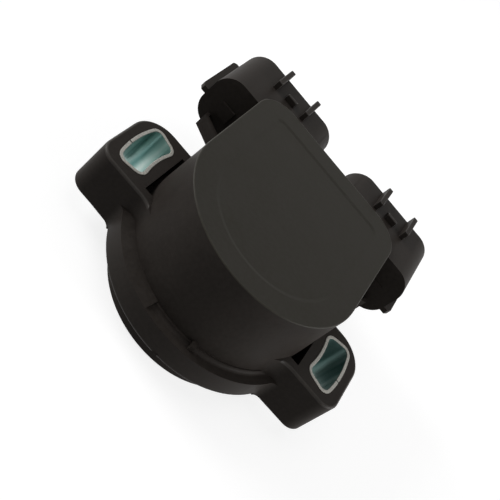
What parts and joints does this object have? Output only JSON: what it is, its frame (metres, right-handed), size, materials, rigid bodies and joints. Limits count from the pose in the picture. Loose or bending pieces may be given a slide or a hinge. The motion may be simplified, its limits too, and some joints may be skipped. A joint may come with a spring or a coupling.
{
  "type": "throttle position sensor",
  "caption": "Round engine sensor with a D-shaped cover, two slotted fixing ears, a spigot with a sprung rotor and a drive socket, and plug sockets on one side.",
  "frame": {"origin": "on the rotor axis at the lower end of the spigot", "axes": "+Z along the rotor axis up to the cover, +Y out of the plug sockets, +X from one fixing ear to the other"},
  "size_m": [0.0816, 0.0805, 0.0367],
  "materials": {
    "housing_plastic": "satin moulded glass-filled nylon",
    "cover_plastic": "fine matte moulded plastic",
    "seal_rubber": "matte moulded rubber",
    "bead_silicone": "soft silicone",
    "liner_steel": "zinc plated rolled strip",
    "rotor_plastic": "natural moulded acetal",
    "bush_bronze": "sintered bronze",
    "spring_steel": "drawn spring wire",
    "contact_alloy": "stamped copper alloy strip",
    "board_laminate": "glass laminate",
    "track_carbon": "printed carbon",
    "terminal_tin": "tinned brass"
  },
  "bodies": {
    "casing": {"housing": "housing_plastic", "cover": "cover_plastic", "cover_seal": "bead_silicone", "slot_liner_left": "liner_steel", "slot_liner_right": "liner_steel", "flange_seal": "seal_rubber", "rotor_bush": "bush_bronze", "thrust_washer": "spring_steel", "return_spring": "spring_steel", "element_board": "board_laminate", "element_tracks": "track_carbon", "terminal_left_1": "terminal_tin", "terminal_left_2": "terminal_tin", "terminal_left_3": "terminal_tin", "terminal_right_1": "terminal_tin", "terminal_right_2": "terminal_tin", "terminal_right_3": "terminal_tin"},
    "rotor": {"rotor": "rotor_plastic", "retaining_clip": "spring_steel", "wiper_carrier": "rotor_plastic", "sensor_wiper": "contact_alloy", "switch_wiper": "contact_alloy"}
  },
  "joints": [
    {"name": "rotor_turn", "type": "hinge", "parent": "casing", "child": "rotor", "pos_m": [0, 0, 0.0118], "axis": [0, 0, 1], "range_deg": [0, 95], "stiffness_Nm_per_rad": 0.03, "springref_deg": -28.65, "deforming": ["return_spring"]}
  ]
}
